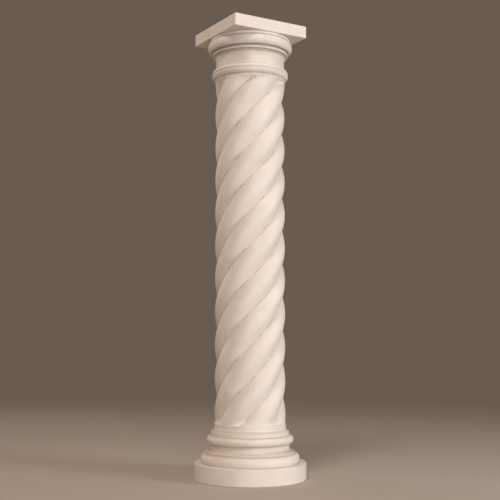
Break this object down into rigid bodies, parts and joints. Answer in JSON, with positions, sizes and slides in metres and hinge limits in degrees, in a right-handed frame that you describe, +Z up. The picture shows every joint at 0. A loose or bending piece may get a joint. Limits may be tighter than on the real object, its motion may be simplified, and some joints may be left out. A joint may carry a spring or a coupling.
{
  "type": "spiral column",
  "caption": "Free-standing cast-stone column with a twisted, rope-like shaft, a round plinth and moulded base, and a moulded capital under a square abacus.",
  "frame": {"origin": "middle of the plinth's underside, on the ground", "axes": "+Z up along the column's axis; the abacus's sides lie along X and Y, and -Y is the wide face in the picture"},
  "size_m": [0.59, 0.59, 2.4],
  "materials": {
    "cast_stone": "smooth cream cast stone, satin-matt, fine grain"
  },
  "bodies": {
    "root": {"plinth": "cast_stone", "base": "cast_stone", "shaft": "cast_stone", "capital": "cast_stone"}
  },
  "joints": []
}
